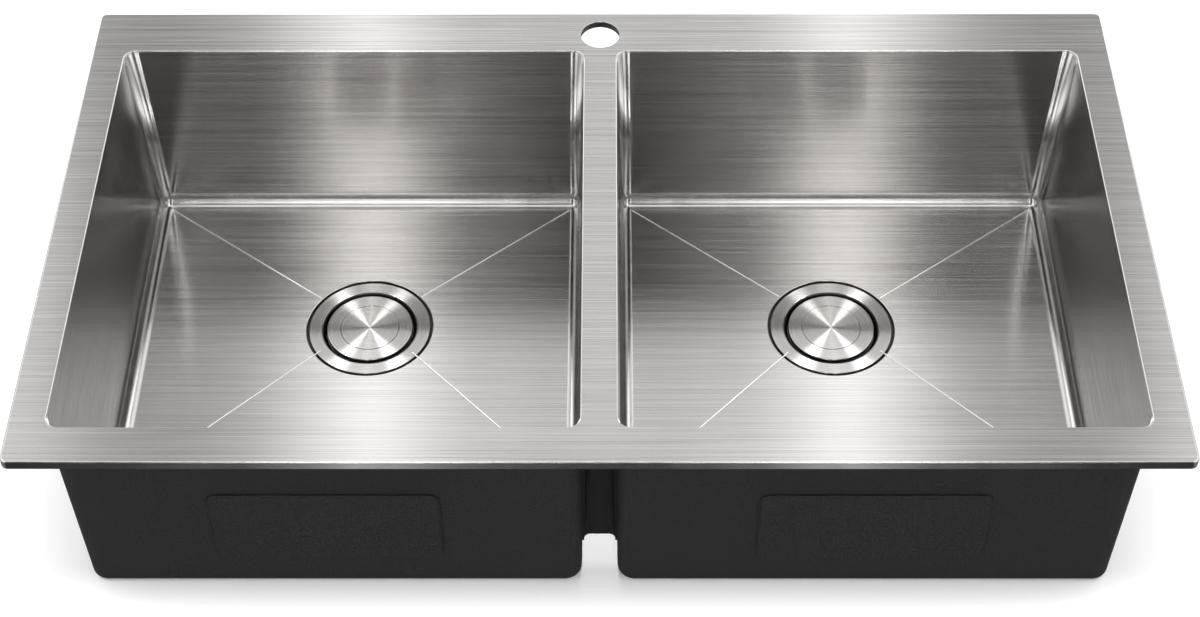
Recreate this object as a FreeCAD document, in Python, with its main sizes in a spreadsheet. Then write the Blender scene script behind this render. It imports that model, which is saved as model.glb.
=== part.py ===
"""Drop-in double bowl kitchen sink in sheet steel, with its two basket strainers.

Lengths are millimetres. The origin is the middle of the rim's outline, at the level of the worktop
that the rim rests on. X runs to the right, Y to the back and Z up.
"""
import FreeCAD
import Part
import math
import os

import Sketcher
from FreeCAD import Placement, Rotation, Vector

DRIVING = {
    # deck and rim
    "rim_width": 914.4,
    "rim_depth": 521.6,
    "rim_height": 8.0,
    "rim_corner_radius": 6.0,
    "rim_edge_radius": 1.5,
    "deck_sheet": 1.5,
    "front_strip": 34.8,
    "rear_strip": 51.6,
    "side_strip": 29.2,
    "divider": 29.6,
    "mouth_radius": 10.0,
    "mouth_chamfer": 0.8,
    "tap_hole_diameter": 35.0,
    "tap_hole_setback": 29.2,
    # bowls
    "bowl_depth": 192.0,
    "bowl_sheet": 1.2,
    "bowl_radius": 11.5,
    "outer_draft": 6.0,
    "divider_draft": 3.0,
    "crease_width": 1.6,
    "crease_depth": 0.4,
    "front_crease_end": 92.0,
    "front_crease_shift": 13.0,
    # drain seat pressed into each bowl floor
    "drain_behind_middle": 55.4,
    "drain_towards_divider": 10.3,
    "seat_margin": 2.2,
    "seat_depth": 3.2,
    "seat_chamfer": 0.8,
    "drain_margin": 1.8,
    # sound deadening
    "coat": 1.8,
    "coat_top_gap": 12.0,
    "coat_edge_radius": 6.0,
    "pad_thickness": 3.0,
    "pad_corner_radius": 7.0,
    "front_pad_width": 183.0,
    "side_pad_width": 240.0,
    "wall_pad_height": 80.0,
    "wall_pad_drop": 122.0,
    "bottom_pad_thickness": 6.0,
    "bottom_pad_inset": 6.0,
    "pad_drain_gap": 5.0,
    # channels that tie the bowls together
    "web_sheet": 1.5,
    "web_setback": 15.5,
    "web_flange": 8.0,
    "web_bend_radius": 5.0,
    "web_floor_gap": 37.0,
    "web_top_gap": 4.0,
    # fixing rails and tap hole ring under the deck
    "rail_width": 10.0,
    "rail_height": 9.0,
    "rail_sheet": 1.2,
    "rail_lip": 2.6,
    "rail_edge_gap": 13.0,
    "front_rail_length": 320.0,
    "rear_rail_length": 300.0,
    "side_rail_length": 360.0,
    "rail_spacing": 470.0,
    "ring_diameter": 50.0,
    "ring_thickness": 5.0,
    # strainer body and what clamps it
    "flange_diameter": 111.0,
    "flange_sheet": 1.2,
    "flange_chamfer": 2.0,
    "cup_radius": 42.0,
    "cup_straight": 22.0,
    "cup_depth": 40.0,
    "outlet_radius": 23.9,
    "outlet_ledge": 2.1,
    "outlet_wall": 3.0,
    "outlet_length": 24.0,
    "seal_thickness": 1.8,
    "gasket_thickness": 3.0,
    "gasket_width": 11.0,
    "washer_thickness": 0.8,
    "nut_height": 12.0,
    "nut_wall": 5.0,
    "nut_lug_depth": 5.0,
    "nut_lug_width": 12.0,
    "nut_lug_tip_width": 8.4,
    "nut_lugs": 8,
    "thread_clearance": 0.15,
    # basket, stem, stopper and cap
    "basket_gap": 5.0,
    "basket_taper": 2.2,
    "basket_sheet": 0.8,
    "basket_top_drop": 5.0,
    "basket_lip": 2.5,
    "basket_slots": 12,
    "basket_slot_width": 5.0,
    "basket_slot_height": 13.0,
    "basket_slot_radius": 2.2,
    "basket_slot_rise": 2.4,
    "basket_holes": 10,
    "basket_hole_diameter": 7.0,
    "basket_hole_circle": 22.0,
    "rest_clearance": 0.3,
    "stem_radius": 3.0,
    "stem_clearance": 0.05,
    "bush_wall": 3.5,
    "bush_height": 4.0,
    "bush_collar": 1.5,
    "bush_taper": 1.0,
    "stopper_margin": 1.0,
    "stopper_bevel": 7.5,
    "stopper_thickness": 4.0,
    "stopper_lip": 1.5,
    "cap_gap": 2.65,
    "cap_sheet": 1.2,
    "cap_skirt": 4.0,
    "cap_edge_chamfer": 0.6,
    "cap_line_inset": 12.85,
    "cap_line_width": 0.5,
    "cap_line_depth": 0.25,
    "cap_boss_radius": 6.0,
    "cap_boss_height": 5.0,
    "cap_socket_depth": 2.5,
}

# Sizes that follow from the driving ones.
DERIVED = {
    "deck_bottom": "rim_height - deck_sheet",
    "divider_x": "divider / 2",
    "outer_x": "rim_width / 2 - side_strip",
    "front_y": "front_strip - rim_depth / 2",
    "back_y": "rim_depth / 2 - rear_strip",
    "floor_top": "rim_height - bowl_depth",
    "floor_bottom": "floor_top - bowl_sheet",
    "wall_height": "deck_bottom - floor_bottom",
    "pad_bottom": "floor_bottom - bottom_pad_thickness",
    "coat_bottom": "pad_bottom - coat",
    "coat_top": "deck_bottom - coat_top_gap",
    "drain_x": "(divider_x + outer_x) / 2 - drain_towards_divider",
    "drain_y": "(front_y + back_y) / 2 + drain_behind_middle",
    "cup_outer_radius": "cup_radius + flange_sheet",
    "seat_radius": "flange_diameter / 2 + seat_margin",
    "drain_hole_radius": "cup_outer_radius + drain_margin",
    "seat_top": "floor_top - seat_depth",
    "seat_bottom": "seat_top - bowl_sheet",
    "pad_hole_radius": "seat_radius + bowl_sheet + pad_drain_gap",
    "tap_hole_y": "rim_depth / 2 - tap_hole_setback",
    "flange_top": "seal_thickness + flange_sheet",
    "basket_top": "flange_top - basket_top_drop",
    "outlet_seat_radius": "outlet_radius + outlet_ledge",
    "basket_radius": "cup_radius - basket_gap",
    "basket_foot_radius": "basket_radius - basket_taper",
    "stopper_radius": "outlet_seat_radius - stopper_margin",
    "stopper_crown_radius": "stopper_radius - stopper_bevel",
    "cap_radius": "cup_radius - cap_gap",
    "cap_line_radius": "cap_radius - cap_line_inset",
    "cone_slope": "(cup_depth - cup_straight) / (cup_radius - outlet_seat_radius)",
    "basket_bottom": "rest_clearance - cup_straight - (cup_radius - basket_foot_radius) * cone_slope",
    "outlet_top": "-cup_depth - flange_sheet",
    "stopper_bottom": "rest_clearance - cup_depth",
    "stem_bore_radius": "stem_radius + stem_clearance",
    "bush_neck_radius": "stem_bore_radius + bush_wall",
}

doc = FreeCAD.newDocument("DoubleBowlSink")
sheet = doc.addObject("Spreadsheet::Sheet", "Sizes")
ROWS = list(DRIVING.items()) + [(name, "=" + formula) for name, formula in DERIVED.items()]
for row, (name, content) in enumerate(ROWS, start=1):
    sheet.set(f"A{row}", name)
    sheet.set(f"B{row}", str(content))
    sheet.setAlias(f"B{row}", name)
doc.recompute()


class Size:
    """A length together with the formula on the sheet that gives it."""

    def __init__(self, formula, number):
        self.formula = formula
        self.number = number

    def __neg__(self):
        return Size(f"-({self.formula})", -self.number)

    def __add__(self, other):
        other = as_size(other)
        return Size(f"({self.formula} + {other.formula})", self.number + other.number)

    def __sub__(self, other):
        other = as_size(other)
        return Size(f"({self.formula} - {other.formula})", self.number - other.number)

    def __mul__(self, other):
        other = as_size(other)
        return Size(f"({self.formula} * {other.formula})", self.number * other.number)

    def __truediv__(self, other):
        other = as_size(other)
        return Size(f"({self.formula} / {other.formula})", self.number / other.number)

    def root(self):
        return Size(f"sqrt({self.formula})", math.sqrt(self.number))


def as_size(value):
    return value if isinstance(value, Size) else Size(repr(float(value)), float(value))


class SheetSizes:
    """Reads a size from the sheet by its alias."""

    def __getattr__(self, alias):
        return Size(f"Sizes.{alias}", float(sheet.get(alias)))


S = SheetSizes()
ZERO = as_size(0)
CLOSE = 0.01  # two positions nearer than this count as one when an edge is looked for


# ---------------------------------------------------------------- sketches


def new_body(label):
    body = doc.addObject("PartDesign::Body", label)
    body.Label = label
    return body


def new_sketch(body, name, plane="XY_Plane", x=ZERO, y=ZERO, height=ZERO):
    """A sketch on one of the body's own planes, with its origin moved to x, y and height."""
    sketch = body.newObject("Sketcher::SketchObject", f"{body.Name}_{name}")
    support = next(item for item in body.Origin.OriginFeatures if item.Role == plane)
    sketch.AttachmentSupport = [(support, "")]
    sketch.MapMode = "FlatFace"
    sketch.AttachmentOffset = Placement(Vector(x.number, y.number, height.number), Rotation())
    sketch.setExpression("AttachmentOffset.Base.x", x.formula)
    sketch.setExpression("AttachmentOffset.Base.y", y.formula)
    sketch.setExpression("AttachmentOffset.Base.z", height.formula)
    return sketch


def bind(sketch, kind, *where_and_size):
    """Adds a dimension whose last argument is a Size, and binds it to the sheet."""
    *where, size = where_and_size
    index = sketch.addConstraint(Sketcher.Constraint(kind, *where, size.number))
    sketch.setExpression(f"Constraints[{index}]", size.formula)


def draw_circle(sketch, radius, x=ZERO, y=ZERO):
    centre = Vector(x.number, y.number, 0)
    circle = sketch.addGeometry(Part.Circle(centre, Vector(0, 0, 1), radius.number), False)
    bind(sketch, "DistanceX", circle, 3, x)
    bind(sketch, "DistanceY", circle, 3, y)
    bind(sketch, "Radius", circle, radius)


def draw_polygon(sketch, points):
    """A closed outline of straight lines, every corner bound by its two coordinates."""
    corners = [Vector(x.number, y.number, 0) for x, y in points]
    first = sketch.GeometryCount
    for start, end in zip(corners, corners[1:] + corners[:1]):
        sketch.addGeometry(Part.LineSegment(start, end), False)
    for index, (x, y) in enumerate(points):
        following = first + (index + 1) % len(points)
        sketch.addConstraint(Sketcher.Constraint("Coincident", first + index, 2, following, 1))
        bind(sketch, "DistanceX", first + index, 1, x)
        bind(sketch, "DistanceY", first + index, 1, y)


def draw_rounded_rectangle(sketch, west, east, south, north, radius):
    """Four lines and four quarter arcs, bound by the positions of the sides and one radius."""
    left, right, low, high = west.number, east.number, south.number, north.number
    r = radius.number
    corners = [
        (Vector(right - r, low + r, 0), -90),
        (Vector(right - r, high - r, 0), 0),
        (Vector(left + r, high - r, 0), 90),
        (Vector(left + r, low + r, 0), 180),
    ]
    lines = [
        (Vector(left + r, low, 0), Vector(right - r, low, 0)),
        (Vector(right, low + r, 0), Vector(right, high - r, 0)),
        (Vector(right - r, high, 0), Vector(left + r, high, 0)),
        (Vector(left, high - r, 0), Vector(left, low + r, 0)),
    ]
    first = sketch.GeometryCount
    for (start, end), (centre, angle) in zip(lines, corners):
        sketch.addGeometry(Part.LineSegment(start, end), False)
        circle = Part.Circle(centre, Vector(0, 0, 1), r)
        sketch.addGeometry(
            Part.ArcOfCircle(circle, math.radians(angle), math.radians(angle + 90)), False
        )
    for side in range(4):
        line = first + 2 * side
        arc = line + 1
        next_line = first + (2 * side + 2) % 8
        sketch.addConstraint(Sketcher.Constraint("Tangent", line, 2, arc, 1))
        sketch.addConstraint(Sketcher.Constraint("Tangent", arc, 2, next_line, 1))
        sketch.addConstraint(Sketcher.Constraint("Horizontal" if side % 2 == 0 else "Vertical", line))
        if side:
            sketch.addConstraint(Sketcher.Constraint("Equal", first + 1, arc))
    bind(sketch, "Radius", first + 1, radius)
    bind(sketch, "DistanceY", first, 1, south)
    bind(sketch, "DistanceX", first + 2, 1, east)
    bind(sketch, "DistanceY", first + 4, 1, north)
    bind(sketch, "DistanceX", first + 6, 1, west)


# ---------------------------------------------------------------- features


def pad(body, sketch, length, backwards=False):
    """Thickens the sketch along its normal, or against it where backwards is set."""
    feature = body.newObject("PartDesign::Pad", f"{sketch.Name}_pad")
    feature.Profile = sketch
    feature.Length = length.number
    feature.setExpression("Length", length.formula)
    feature.Reversed = backwards
    doc.recompute()
    return feature


def pocket(body, sketch, depth=None, forwards=False):
    """Cuts the sketch's outline to a depth, or right through where no depth is given.

    It cuts against the sketch's normal, or along it where forwards is set.
    """
    before = body.Shape.Volume
    feature = body.newObject("PartDesign::Pocket", f"{sketch.Name}_pocket")
    feature.Profile = sketch
    feature.Reversed = forwards
    if depth is None:
        feature.Type = "ThroughAll"
    else:
        feature.Length = depth.number
        feature.setExpression("Length", depth.formula)
    doc.recompute()
    if body.Shape.Volume >= before:
        raise RuntimeError(f"{feature.Name} cuts nothing")
    return feature


def revolve(body, sketch):
    feature = body.newObject("PartDesign::Revolution", f"{sketch.Name}_turned")
    feature.Profile = sketch
    feature.ReferenceAxis = (sketch, ["V_Axis"])
    feature.Angle = 360
    doc.recompute()
    return feature


def repeat_round(body, feature, sketch, count):
    """Repeats a feature round the upright axis of its sketch's plane."""
    pattern = body.newObject("PartDesign::PolarPattern", f"{feature.Name}_round")
    pattern.Originals = [feature]
    pattern.Axis = (sketch, ["N_Axis"])
    pattern.Angle = 360
    pattern.Occurrences = int(count.number)
    pattern.setExpression("Occurrences", count.formula)
    body.Tip = pattern
    doc.recompute()
    return pattern


def edge_names(shape, wanted):
    return [f"Edge{index}" for index, edge in enumerate(shape.Edges, start=1) if wanted(edge)]


def fillet(body, wanted, radius, name):
    """Rounds every edge of the body that the test picks."""
    base = body.Tip
    feature = body.newObject("PartDesign::Fillet", f"{body.Name}_{name}")
    feature.Base = (base, edge_names(base.Shape, wanted))
    feature.Radius = radius.number
    feature.setExpression("Radius", radius.formula)
    doc.recompute()
    return feature


def chamfer(body, wanted, size, name):
    """Breaks every edge of the body that the test picks."""
    base = body.Tip
    feature = body.newObject("PartDesign::Chamfer", f"{body.Name}_{name}")
    feature.Base = (base, edge_names(base.Shape, wanted))
    feature.Size = size.number
    feature.setExpression("Size", size.formula)
    doc.recompute()
    return feature


def lies_at(height):
    """A test for the edges or faces that lie in one level plane."""

    def test(shape):
        box = shape.BoundBox
        return abs(box.ZMin - height.number) < CLOSE and abs(box.ZMax - height.number) < CLOSE

    return test


def is_not_at(height):
    """A test for every edge but those in one level plane."""
    level = lies_at(height)
    return lambda shape: not level(shape)


def is_ring(height, radius):
    """A test for a full circle round the upright axis of its piece."""
    level = lies_at(height)
    return lambda shape: level(shape) and abs(shape.BoundBox.XLength / 2 - radius.number) < CLOSE


def place(body, x=ZERO, y=ZERO, height=ZERO, turn=None):
    """Sets where the finished piece sits, with its three coordinates bound to the sheet."""
    body.Placement = Placement(Vector(x.number, y.number, height.number), turn or Rotation())
    body.setExpression("Placement.Base.x", x.formula)
    body.setExpression("Placement.Base.y", y.formula)
    body.setExpression("Placement.Base.z", height.formula)


SIDES = {"left": -1, "right": 1}


def span(side, near, far):
    """The lower and the higher X of a stretch that runs from near the divider to far from it."""
    return (near, far) if side > 0 else (-far, -near)


# ---------------------------------------------------------------- deck


def draw_mouths(sketch):
    for side in SIDES.values():
        west, east = span(side, S.divider_x, S.outer_x)
        draw_rounded_rectangle(sketch, west, east, S.front_y, S.back_y, S.mouth_radius)


def make_rim_deck():
    """The deck sheet, folded down all round, with the two mouths and the tap hole."""
    body = new_body("rim_deck")
    half_width = S.rim_width / 2
    half_depth = S.rim_depth / 2
    outline = new_sketch(body, "outline")
    draw_rounded_rectangle(
        outline, -half_width, half_width, -half_depth, half_depth, S.rim_corner_radius
    )
    pad(body, outline, S.rim_height)
    fillet(body, lies_at(S.rim_height), S.rim_edge_radius, "rim_edge")
    hollow = new_sketch(body, "hollow")
    inner_width = half_width - S.deck_sheet
    inner_depth = half_depth - S.deck_sheet
    inner_radius = S.rim_corner_radius - S.deck_sheet
    draw_rounded_rectangle(
        hollow, -inner_width, inner_width, -inner_depth, inner_depth, inner_radius
    )
    pocket(body, hollow, S.deck_bottom, forwards=True)
    mouths = new_sketch(body, "mouths")
    draw_mouths(mouths)
    pocket(body, mouths, forwards=True)
    rounding_x = (half_width - S.rim_edge_radius).number - CLOSE
    rounding_y = (half_depth - S.rim_edge_radius).number - CLOSE

    def mouth_edge(edge):
        box = edge.BoundBox
        clear_of_rim = max(-box.XMin, box.XMax) < rounding_x and max(-box.YMin, box.YMax) < rounding_y
        return clear_of_rim and lies_at(S.rim_height)(edge)

    chamfer(body, mouth_edge, S.mouth_chamfer, "mouth_edges")
    tap_hole = new_sketch(body, "tap_hole")
    draw_circle(tap_hole, S.tap_hole_diameter / 2, y=S.tap_hole_y)
    pocket(body, tap_hole, forwards=True)
    return body


def make_tap_hole_ring():
    """The stiffening ring that a tap's nut is tightened against, under the deck."""
    body = new_body("tap_hole_ring")
    sketch = new_sketch(body, "section", height=-S.ring_thickness)
    draw_circle(sketch, S.ring_diameter / 2)
    draw_circle(sketch, S.tap_hole_diameter / 2)
    pad(body, sketch, S.ring_thickness)
    place(body, y=S.tap_hole_y, height=S.deck_bottom)
    return body


# ---------------------------------------------------------------- bowls


def wall_spread(height, draft):
    """How far a drafted wall has moved in at a height, counted from the deck's underside."""
    return draft * (S.deck_bottom - height) / S.wall_height


def wall_span(side, height, growth):
    """West and east of a bowl at a level: its inside plus growth."""
    near = S.divider_x + wall_spread(height, S.divider_draft) - growth
    far = S.outer_x - wall_spread(height, S.outer_draft) + growth
    return span(side, near, far)


def wall_profile(side, low, growth):
    """The corners of a bowl seen from the front, from a low level up to the deck."""
    west, east = wall_span(side, low, growth)
    west_top, east_top = wall_span(side, S.deck_bottom, growth)
    return [(west, low), (east, low), (east_top, S.deck_bottom), (west_top, S.deck_bottom)]


def draw_crease(sketch, start, end):
    """A narrow straight groove from start to end, square at both ends."""
    points = [Vector(x.number, y.number, 0) for x, y in (start, end)]
    along = points[1] - points[0]
    across = Vector(-along.y, along.x, 0).normalize() * (S.crease_width.number / 2)
    middle = sketch.addGeometry(Part.LineSegment(*points), True)
    corners = [points[0] - across, points[1] - across, points[1] + across, points[0] + across]
    first = sketch.GeometryCount
    for corner, following in zip(corners, corners[1:] + corners[:1]):
        sketch.addGeometry(Part.LineSegment(corner, following), False)
    for index in range(4):
        following = first + (index + 1) % 4
        sketch.addConstraint(Sketcher.Constraint("Coincident", first + index, 2, following, 1))
    for position, (x, y) in ((1, start), (2, end)):
        bind(sketch, "DistanceX", middle, position, x)
        bind(sketch, "DistanceY", middle, position, y)
    for line in (first, first + 2):
        sketch.addConstraint(Sketcher.Constraint("Parallel", middle, line))
        bind(sketch, "Distance", middle, 1, line, S.crease_width / 2)
    for line in (first + 1, first + 3):
        sketch.addConstraint(Sketcher.Constraint("Perpendicular", middle, line))
    sketch.addConstraint(Sketcher.Constraint("PointOnObject", middle, 1, first + 3))
    sketch.addConstraint(Sketcher.Constraint("PointOnObject", middle, 2, first + 1))


def draw_creases(sketch, side):
    """Four creases: two from the back corners, two that come in from the side walls."""
    inset = S.bowl_radius
    near = S.divider_x + S.divider_draft + inset
    far = S.outer_x - S.outer_draft - inset
    drain_x = S.drain_x * side
    aims = (
        (S.drain_y, S.back_y - inset),
        (S.drain_y + S.front_crease_shift, S.front_y + S.front_crease_end),
    )
    for aim_y, end_y in aims:
        for wall_x in (near, far):
            end_x = wall_x * side
            run_x = end_x - drain_x
            run_y = end_y - aim_y
            length = (run_x * run_x + run_y * run_y).root()
            share = S.drain_hole_radius / length
            start = (drain_x + run_x * share, aim_y + run_y * share)
            draw_crease(sketch, start, (end_x, end_y))


def make_bowl(name, side):
    """A sheet bowl: drafted walls, a rounded floor edge, four creases and a pressed drain seat."""
    body = new_body(f"{name}_bowl")
    inner_length = S.back_y - S.front_y
    outside = new_sketch(body, "outside", plane="XZ_Plane", height=S.bowl_sheet - S.front_y)
    draw_polygon(outside, wall_profile(side, S.floor_bottom, S.bowl_sheet))
    pad(body, outside, inner_length + S.bowl_sheet * 2, backwards=True)
    inside = new_sketch(body, "inside", plane="XZ_Plane", height=-S.front_y)
    draw_polygon(inside, wall_profile(side, S.floor_top, ZERO))
    pocket(body, inside, inner_length)
    below_deck = is_not_at(S.deck_bottom)

    def is_inner(edge):
        box = edge.BoundBox
        return box.YMin > S.front_y.number - CLOSE and box.YMax < S.back_y.number + CLOSE

    def inner_bend(edge):
        return below_deck(edge) and is_inner(edge)

    def outer_bend(edge):
        return below_deck(edge) and not is_inner(edge)

    fillet(body, inner_bend, S.bowl_radius, "inner_bends")
    fillet(body, outer_bend, S.bowl_radius + S.bowl_sheet, "outer_bends")

    drain = {"x": S.drain_x * side, "y": S.drain_y}
    bump = new_sketch(body, "seat_outside", height=S.seat_bottom, **drain)
    draw_circle(bump, S.seat_radius + S.bowl_sheet)
    pad(body, bump, S.seat_depth)
    chamfer(body, lies_at(S.seat_bottom), S.seat_chamfer, "seat_edge_outside")
    recess = new_sketch(body, "seat_inside", height=S.floor_top, **drain)
    draw_circle(recess, S.seat_radius)
    pocket(body, recess, S.seat_depth)
    hole = new_sketch(body, "drain_hole", height=S.seat_top, **drain)
    draw_circle(hole, S.drain_hole_radius)
    pocket(body, hole)
    chamfer(body, is_ring(S.floor_top, S.seat_radius), S.seat_chamfer, "seat_rim")
    creases = new_sketch(body, "creases", height=S.floor_top)
    draw_creases(creases, side)
    pocket(body, creases, S.crease_depth)
    return body


# ---------------------------------------------------------------- sound deadening


def make_slab(label, width, height):
    """A flat pad with rounded corners, in its own frame with its back on Z = 0."""
    body = new_body(label)
    sketch = new_sketch(body, "outline")
    draw_rounded_rectangle(
        sketch, -width / 2, width / 2, -height / 2, height / 2, S.pad_corner_radius
    )
    pad(body, sketch, S.pad_thickness)
    return body


def outer_wall_tilt():
    """The lean of a bowl's outer wall, in degrees."""
    return math.degrees(math.atan(S.outer_draft.number / S.wall_height.number))


def make_wall_pads(name, side):
    """One pad on each wall of a bowl that faces outwards: front, rear and outer side."""
    height = S.deck_bottom - S.wall_pad_drop
    middle_x = (S.divider_x + S.outer_x) / 2 * side
    middle_y = (S.front_y + S.back_y) / 2
    front = make_slab(f"{name}_front_pad", S.front_pad_width, S.wall_pad_height)
    place(front, middle_x, S.front_y - S.bowl_sheet, height, Rotation(Vector(1, 0, 0), 90))
    rear = make_slab(f"{name}_rear_pad", S.front_pad_width, S.wall_pad_height)
    upright = Rotation(Vector(1, 0, 0), 90)
    place(rear, middle_x, S.back_y + S.bowl_sheet, height, Rotation(Vector(0, 0, 1), 180) * upright)
    outer = make_slab(f"{name}_side_pad", S.side_pad_width, S.wall_pad_height)
    wall_x = S.outer_x + S.bowl_sheet - wall_spread(height, S.outer_draft)
    lean = Rotation(Vector(0, 1, 0), outer_wall_tilt() * side)
    facing = lean * Rotation(Vector(0, 0, 1), 90 * side) * upright
    place(outer, wall_x * side, middle_y, height, facing)
    return [front, rear, outer]


def make_bottom_pad(name, side):
    """The thick pad under a bowl's floor, with a hole round the drain seat."""
    body = new_body(f"{name}_bottom_pad")
    outline = new_sketch(body, "outline", height=S.pad_bottom)
    growth = S.bowl_sheet - S.bottom_pad_inset
    west, east = wall_span(side, S.floor_bottom, growth)
    south, north = S.front_y - growth, S.back_y + growth
    draw_rounded_rectangle(outline, west, east, south, north, S.pad_corner_radius)
    draw_circle(outline, S.pad_hole_radius, S.drain_x * side, S.drain_y)
    pad(body, outline, S.bottom_pad_thickness)
    return body


def drafted_block(side, low, growth):
    """A bowl's outside, grown all round, from a low level up to the deck, with sharp edges."""
    south = (S.front_y - growth).number
    corners = [Vector(x.number, south, z.number) for x, z in wall_profile(side, low, growth)]
    face = Part.Face(Part.makePolygon(corners + corners[:1]))
    return face.extrude(Vector(0, (S.back_y - S.front_y + growth * 2).number, 0))


def coated_slab(slab, width, height):
    """The room that a pad takes up together with the skin sprayed over it."""
    grown_width = (width + S.coat * 2).number
    grown_height = (height + S.coat * 2).number
    thickness = (S.pad_thickness + S.coat).number
    corner = Vector(-grown_width / 2, -grown_height / 2, 0)
    block = Part.makeBox(grown_width, grown_height, thickness, corner)
    upright = [edge for edge in block.Edges if edge.BoundBox.ZLength > thickness / 2]
    block = block.makeFillet((S.pad_corner_radius + S.coat).number, upright)
    face_edges = [edge for edge in block.Edges if edge.BoundBox.ZMin > thickness - CLOSE]
    block = block.makeChamfer(S.coat.number, face_edges)
    block.Placement = slab.Placement
    return block


def make_undercoat(name, side, wall_pads, bottom_pad):
    """The sprayed skin: it follows the bowl, fills in under the floor edge and lies over the pads."""
    outer = drafted_block(side, S.coat_bottom, S.bowl_sheet + S.coat)
    upright = [edge for edge in outer.Edges if edge.BoundBox.ZLength > S.wall_height.number / 2]
    outer = outer.makeFillet((S.bowl_radius + S.bowl_sheet + S.coat).number, upright)
    low_edges = [edge for edge in outer.Edges if lies_at(S.coat_bottom)(edge)]
    outer = outer.makeFillet(S.coat_edge_radius.number, low_edges)
    for slab in wall_pads:
        width = S.side_pad_width if slab.Label.endswith("side_pad") else S.front_pad_width
        outer = outer.fuse(coated_slab(slab, width, S.wall_pad_height))
    inner = drafted_block(side, S.floor_bottom, S.bowl_sheet)
    bends = [edge for edge in inner.Edges if is_not_at(S.deck_bottom)(edge)]
    inner = inner.makeFillet((S.bowl_radius + S.bowl_sheet).number, bends)
    room = (S.rim_width + S.rim_depth).number
    above = Part.makeBox(2 * room, 2 * room, room, Vector(-room, -room, S.coat_top.number))
    drain_axis = Vector((S.drain_x * side).number, S.drain_y.number, S.coat_bottom.number - 1)
    drain = Part.makeCylinder((S.pad_hole_radius - S.coat).number, room, drain_axis)
    tools = [inner, above, drain, bottom_pad.Shape] + [slab.Shape for slab in wall_pads]
    node = doc.addObject("Part::Feature", f"{name}_undercoat")
    node.Label = f"{name}_undercoat"
    node.Shape = outer.cut(tools).removeSplitter()
    return node


# ---------------------------------------------------------------- channels and rails


def draw_web_profile(sketch, low, high, inset):
    """The gap between the coated bowls seen from the front, less an inset at both sides."""
    corners = []
    for height in (low, high):
        half = S.divider_x - S.bowl_sheet - S.coat - inset + wall_spread(height, S.divider_draft)
        corners.append((half, height))
    (wide, low), (narrow, high) = corners
    draw_polygon(sketch, [(-wide, low), (wide, low), (narrow, high), (-narrow, high)])


def make_web(label, y, turned):
    """A channel between the bowls, wider below because the walls lean apart."""
    body = new_body(label)
    low = S.coat_bottom + S.web_floor_gap
    high = S.coat_top - S.web_top_gap
    block = new_sketch(body, "block", plane="XZ_Plane")
    draw_web_profile(block, low, high, ZERO)
    pad(body, block, S.web_flange, backwards=True)
    channel = new_sketch(body, "channel", plane="XZ_Plane")
    draw_web_profile(channel, low - S.web_sheet, high + S.web_sheet, S.web_sheet)
    pocket(body, channel, S.web_flange - S.web_sheet)
    bend_y = (S.web_flange - S.web_sheet).number
    wide = S.divider_x.number

    def inner_bend(edge):
        box = edge.BoundBox
        inside = abs(box.YMin - bend_y) < CLOSE and abs(box.Center.x) < wide
        return inside and box.ZLength > S.web_flange.number

    fillet(body, inner_bend, S.web_bend_radius, "bends")
    place(body, y=y, turn=Rotation(Vector(0, 0, 1), 180) if turned else None)
    return body


def make_rail(label, length, x, y, along_y=False):
    """A lipped channel, open downwards, that takes the heads of the worktop clips."""
    body = new_body(label)
    half = S.rail_width / 2
    low = -S.rail_height
    lip = S.rail_lip
    section = new_sketch(body, "section", plane="YZ_Plane", height=-length / 2)
    draw_polygon(
        section,
        [
            (-half, ZERO),
            (-half, low),
            (-half + lip, low),
            (-half + lip, low + S.rail_sheet),
            (-half + S.rail_sheet, low + S.rail_sheet),
            (-half + S.rail_sheet, -S.rail_sheet),
            (half - S.rail_sheet, -S.rail_sheet),
            (half - S.rail_sheet, low + S.rail_sheet),
            (half - lip, low + S.rail_sheet),
            (half - lip, low),
            (half, low),
            (half, ZERO),
        ],
    )
    pad(body, section, length)
    turn = Rotation(Vector(0, 0, 1), 90) if along_y else None
    place(body, x, y, S.deck_bottom, turn)
    return body


def make_rails():
    rails = []
    inset = S.deck_sheet + S.rail_edge_gap + S.rail_width / 2
    long_y = S.rim_depth / 2 - inset
    for name, side in SIDES.items():
        x = S.rail_spacing / 2 * side
        rails.append(make_rail(f"{name}_front_rail", S.front_rail_length, x, -long_y))
        rails.append(make_rail(f"{name}_rear_rail", S.rear_rail_length, x, long_y))
        side_x = (S.rim_width / 2 - inset) * side
        rails.append(make_rail(f"{name}_side_rail", S.side_rail_length, side_x, ZERO, along_y=True))
    return rails


# ---------------------------------------------------------------- strainers
# Every strainer piece is drawn round its own upright axis, with Z = 0 on the drain seat.


def turned_piece(label, points):
    """A piece turned from one half section, given as radii and heights."""
    body = new_body(label)
    section = new_sketch(body, "section", plane="XZ_Plane")
    draw_polygon(section, points)
    revolve(body, section)
    return body


def make_ring(label, inner, outer, top, thickness):
    """A flat ring whose upper face lies at a level."""
    body = new_body(label)
    section = new_sketch(body, "section", height=top - thickness)
    draw_circle(section, outer)
    draw_circle(section, inner)
    pad(body, section, thickness)
    return body


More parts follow.
